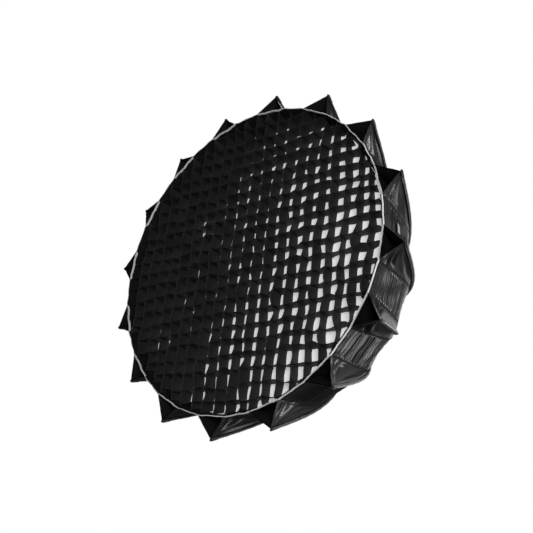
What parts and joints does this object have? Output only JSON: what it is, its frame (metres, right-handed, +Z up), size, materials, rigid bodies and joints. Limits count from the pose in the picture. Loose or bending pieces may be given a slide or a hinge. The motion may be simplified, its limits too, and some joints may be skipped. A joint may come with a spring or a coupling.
{
  "type": "octabox",
  "caption": "Round folding dome softbox: rods hinged on a turning hub spread black side panels to a wide rim that holds a white diffuser and a cloth egg-crate grid.",
  "frame": {"origin": "centre of the rear face of the mounting flange, the face that seats on the lamp", "axes": "the dome opens towards -Y, +Y points back to the lamp along the dome's axis, +Z is up, +X is to the right seen from the front with +Z up"},
  "size_m": [1.4916, 0.8191, 1.4916],
  "materials": {
    "cast_metal": "satin black anodised",
    "plate": "satin black",
    "steel": "plain wire",
    "plastic": "matte black",
    "rod": "smooth grey",
    "panel": "black coated cloth with a slight sheen",
    "binding": "pale binding tape",
    "diffuser": "white translucent cloth"
  },
  "bodies": {
    "mount": {"mount_ring": "cast_metal", "retaining_ring": "plate"},
    "hub": {"hub_rear_plate": "plate", "hub_body": "plastic", "hub_front_plate": "plate", "pivot_wire": "steel", "rear_collar": "panel", "inner_baffle": "diffuser", "front_diffuser": "diffuser", "grid": "panel", "rim_band": "binding"},
    "lock": {"lock_screw": "plastic"},
    "rod_01": {"rod_01": "rod", "rod_socket_01": "plastic"},
    "rod_02": {"rod_02": "rod", "rod_socket_02": "plastic"},
    "rod_03": {"rod_03": "rod", "rod_socket_03": "plastic"},
    "rod_04": {"rod_04": "rod", "rod_socket_04": "plastic"},
    "rod_05": {"rod_05": "rod", "rod_socket_05": "plastic"},
    "rod_06": {"rod_06": "rod", "rod_socket_06": "plastic"},
    "rod_07": {"rod_07": "rod", "rod_socket_07": "plastic"},
    "rod_08": {"rod_08": "rod", "rod_socket_08": "plastic"},
    "rod_09": {"rod_09": "rod", "rod_socket_09": "plastic"},
    "rod_10": {"rod_10": "rod", "rod_socket_10": "plastic"},
    "rod_11": {"rod_11": "rod", "rod_socket_11": "plastic"},
    "rod_12": {"rod_12": "rod", "rod_socket_12": "plastic"},
    "rod_13": {"rod_13": "rod", "rod_socket_13": "plastic"},
    "rod_14": {"rod_14": "rod", "rod_socket_14": "plastic"},
    "rod_15": {"rod_15": "rod", "rod_socket_15": "plastic"},
    "rod_16": {"rod_16": "rod", "rod_socket_16": "plastic"},
    "panel_01": {"side_panel_01": "panel"},
    "panel_02": {"side_panel_02": "panel"},
    "panel_03": {"side_panel_03": "panel"},
    "panel_04": {"side_panel_04": "panel"},
    "panel_05": {"side_panel_05": "panel"},
    "panel_06": {"side_panel_06": "panel"},
    "panel_07": {"side_panel_07": "panel"},
    "panel_08": {"side_panel_08": "panel"},
    "panel_09": {"side_panel_09": "panel"},
    "panel_10": {"side_panel_10": "panel"},
    "panel_11": {"side_panel_11": "panel"},
    "panel_12": {"side_panel_12": "panel"},
    "panel_13": {"side_panel_13": "panel"},
    "panel_14": {"side_panel_14": "panel"},
    "panel_15": {"side_panel_15": "panel"},
    "panel_16": {"side_panel_16": "panel"}
  },
  "joints": [
    {"name": "mount_turn", "type": "hinge", "parent": "mount", "child": "hub", "pos_m": [0, 0, 0], "axis": [0, 1, 0], "continuous": true},
    {"name": "lock_slide", "type": "slide", "parent": "hub", "child": "lock", "axis": [-0.1951, 0, -0.9808], "range_m": [0, 0.003]},
    {"name": "fold_01", "type": "hinge", "parent": "hub", "child": "rod_01", "pos_m": [0, -0.03, 0.095], "axis": [1, 0, 0], "range_deg": [0, 41.8], "deforming": ["side_panel_01", "side_panel_02", "side_panel_03", "side_panel_04", "side_panel_05", "side_panel_06", "side_panel_07", "side_panel_08", "side_panel_09", "side_panel_10", "side_panel_11", "side_panel_12", "side_panel_13", "side_panel_14", "side_panel_15", "side_panel_16", "rear_collar", "inner_baffle", "front_diffuser", "grid", "rim_band"]},
    {"name": "fold_02", "type": "hinge", "parent": "hub", "child": "rod_02", "pos_m": [0.03635, -0.03, 0.08777], "axis": [0.9239, 0, -0.3827], "range_deg": [0, 41.8]},
    {"name": "fold_03", "type": "hinge", "parent": "hub", "child": "rod_03", "pos_m": [0.06717, -0.03, 0.06717], "axis": [0.7071, 0, -0.7071], "range_deg": [0, 41.8]},
    {"name": "fold_04", "type": "hinge", "parent": "hub", "child": "rod_04", "pos_m": [0.08777, -0.03, 0.03635], "axis": [0.3827, 0, -0.9239], "range_deg": [0, 41.8]},
    {"name": "fold_05", "type": "hinge", "parent": "hub", "child": "rod_05", "pos_m": [0.095, -0.03, 0], "axis": [0, 0, -1], "range_deg": [0, 41.8]},
    {"name": "fold_06", "type": "hinge", "parent": "hub", "child": "rod_06", "pos_m": [0.08777, -0.03, -0.03635], "axis": [-0.3827, 0, -0.9239], "range_deg": [0, 41.8]},
    {"name": "fold_07", "type": "hinge", "parent": "hub", "child": "rod_07", "pos_m": [0.06717, -0.03, -0.06717], "axis": [-0.7071, 0, -0.7071], "range_deg": [0, 41.8]},
    {"name": "fold_08", "type": "hinge", "parent": "hub", "child": "rod_08", "pos_m": [0.03635, -0.03, -0.08777], "axis": [-0.9239, 0, -0.3827], "range_deg": [0, 41.8]},
    {"name": "fold_09", "type": "hinge", "parent": "hub", "child": "rod_09", "pos_m": [0, -0.03, -0.095], "axis": [-1, 0, 0], "range_deg": [0, 41.8]},
    {"name": "fold_10", "type": "hinge", "parent": "hub", "child": "rod_10", "pos_m": [-0.03635, -0.03, -0.08777], "axis": [-0.9239, 0, 0.3827], "range_deg": [0, 41.8]},
    {"name": "fold_11", "type": "hinge", "parent": "hub", "child": "rod_11", "pos_m": [-0.06717, -0.03, -0.06717], "axis": [-0.7071, 0, 0.7071], "range_deg": [0, 41.8]},
    {"name": "fold_12", "type": "hinge", "parent": "hub", "child": "rod_12", "pos_m": [-0.08777, -0.03, -0.03635], "axis": [-0.3827, 0, 0.9239], "range_deg": [0, 41.8]},
    {"name": "fold_13", "type": "hinge", "parent": "hub", "child": "rod_13", "pos_m": [-0.095, -0.03, 0], "axis": [0, 0, 1], "range_deg": [0, 41.8]},
    {"name": "fold_14", "type": "hinge", "parent": "hub", "child": "rod_14", "pos_m": [-0.08777, -0.03, 0.03635], "axis": [0.3827, 0, 0.9239], "range_deg": [0, 41.8]},
    {"name": "fold_15", "type": "hinge", "parent": "hub", "child": "rod_15", "pos_m": [-0.06717, -0.03, 0.06717], "axis": [0.7071, 0, 0.7071], "range_deg": [0, 41.8]},
    {"name": "fold_16", "type": "hinge", "parent": "hub", "child": "rod_16", "pos_m": [-0.03635, -0.03, 0.08777], "axis": [0.9239, 0, 0.3827], "range_deg": [0, 41.8]},
    {"name": "gather_01", "type": "hinge", "parent": "rod_01", "child": "panel_01", "pos_m": [0.0189, -0.03, 0.095], "axis": [-0.1827, -0.3507, -0.9185], "range_deg": [0, 15.97]},
    {"name": "gather_02", "type": "hinge", "parent": "rod_02", "child": "panel_02", "pos_m": [0.05381, -0.03, 0.08054], "axis": [-0.5203, -0.3507, -0.7787], "range_deg": [0, 15.97]},
    {"name": "gather_03", "type": "hinge", "parent": "rod_03", "child": "panel_03", "pos_m": [0.08054, -0.03, 0.05381], "axis": [-0.7787, -0.3507, -0.5203], "range_deg": [0, 15.97]},
    {"name": "gather_04", "type": "hinge", "parent": "rod_04", "child": "panel_04", "pos_m": [0.095, -0.03, 0.0189], "axis": [-0.9185, -0.3507, -0.1827], "range_deg": [0, 15.97]},
    {"name": "gather_05", "type": "hinge", "parent": "rod_05", "child": "panel_05", "pos_m": [0.095, -0.03, -0.0189], "axis": [-0.9185, -0.3507, 0.1827], "range_deg": [0, 15.97]},
    {"name": "gather_06", "type": "hinge", "parent": "rod_06", "child": "panel_06", "pos_m": [0.08054, -0.03, -0.05381], "axis": [-0.7787, -0.3507, 0.5203], "range_deg": [0, 15.97]},
    {"name": "gather_07", "type": "hinge", "parent": "rod_07", "child": "panel_07", "pos_m": [0.05381, -0.03, -0.08054], "axis": [-0.5203, -0.3507, 0.7787], "range_deg": [0, 15.97]},
    {"name": "gather_08", "type": "hinge", "parent": "rod_08", "child": "panel_08", "pos_m": [0.0189, -0.03, -0.095], "axis": [-0.1827, -0.3507, 0.9185], "range_deg": [0, 15.97]},
    {"name": "gather_09", "type": "hinge", "parent": "rod_09", "child": "panel_09", "pos_m": [-0.0189, -0.03, -0.095], "axis": [0.1827, -0.3507, 0.9185], "range_deg": [0, 15.97]},
    {"name": "gather_10", "type": "hinge", "parent": "rod_10", "child": "panel_10", "pos_m": [-0.05381, -0.03, -0.08054], "axis": [0.5203, -0.3507, 0.7787], "range_deg": [0, 15.97]},
    {"name": "gather_11", "type": "hinge", "parent": "rod_11", "child": "panel_11", "pos_m": [-0.08054, -0.03, -0.05381], "axis": [0.7787, -0.3507, 0.5203], "range_deg": [0, 15.97]},
    {"name": "gather_12", "type": "hinge", "parent": "rod_12", "child": "panel_12", "pos_m": [-0.095, -0.03, -0.0189], "axis": [0.9185, -0.3507, 0.1827], "range_deg": [0, 15.97]},
    {"name": "gather_13", "type": "hinge", "parent": "rod_13", "child": "panel_13", "pos_m": [-0.095, -0.03, 0.0189], "axis": [0.9185, -0.3507, -0.1827], "range_deg": [0, 15.97]},
    {"name": "gather_14", "type": "hinge", "parent": "rod_14", "child": "panel_14", "pos_m": [-0.08054, -0.03, 0.05381], "axis": [0.7787, -0.3507, -0.5203], "range_deg": [0, 15.97]},
    {"name": "gather_15", "type": "hinge", "parent": "rod_15", "child": "panel_15", "pos_m": [-0.05381, -0.03, 0.08054], "axis": [0.5203, -0.3507, -0.7787], "range_deg": [0, 15.97]},
    {"name": "gather_16", "type": "hinge", "parent": "rod_16", "child": "panel_16", "pos_m": [-0.0189, -0.03, 0.095], "axis": [0.1827, -0.3507, -0.9185], "range_deg": [0, 15.97]}
  ],
  "couplings": [
    {"joint": "fold_02", "follows": "fold_01", "ratio": 1},
    {"joint": "fold_03", "follows": "fold_01", "ratio": 1},
    {"joint": "fold_04", "follows": "fold_01", "ratio": 1},
    {"joint": "fold_05", "follows": "fold_01", "ratio": 1},
    {"joint": "fold_06", "follows": "fold_01", "ratio": 1},
    {"joint": "fold_07", "follows": "fold_01", "ratio": 1},
    {"joint": "fold_08", "follows": "fold_01", "ratio": 1},
    {"joint": "fold_09", "follows": "fold_01", "ratio": 1},
    {"joint": "fold_10", "follows": "fold_01", "ratio": 1},
    {"joint": "fold_11", "follows": "fold_01", "ratio": 1},
    {"joint": "fold_12", "follows": "fold_01", "ratio": 1},
    {"joint": "fold_13", "follows": "fold_01", "ratio": 1},
    {"joint": "fold_14", "follows": "fold_01", "ratio": 1},
    {"joint": "fold_15", "follows": "fold_01", "ratio": 1},
    {"joint": "fold_16", "follows": "fold_01", "ratio": 1},
    {"joint": "gather_01", "follows": "fold_01", "ratio": 0.38189},
    {"joint": "gather_02", "follows": "fold_01", "ratio": 0.38189},
    {"joint": "gather_03", "follows": "fold_01", "ratio": 0.38189},
    {"joint": "gather_04", "follows": "fold_01", "ratio": 0.38189},
    {"joint": "gather_05", "follows": "fold_01", "ratio": 0.38189},
    {"joint": "gather_06", "follows": "fold_01", "ratio": 0.38189},
    {"joint": "gather_07", "follows": "fold_01", "ratio": 0.38189},
    {"joint": "gather_08", "follows": "fold_01", "ratio": 0.38189},
    {"joint": "gather_09", "follows": "fold_01", "ratio": 0.38189},
    {"joint": "gather_10", "follows": "fold_01", "ratio": 0.38189},
    {"joint": "gather_11", "follows": "fold_01", "ratio": 0.38189},
    {"joint": "gather_12", "follows": "fold_01", "ratio": 0.38189},
    {"joint": "gather_13", "follows": "fold_01", "ratio": 0.38189},
    {"joint": "gather_14", "follows": "fold_01", "ratio": 0.38189},
    {"joint": "gather_15", "follows": "fold_01", "ratio": 0.38189},
    {"joint": "gather_16", "follows": "fold_01", "ratio": 0.38189}
  ]
}
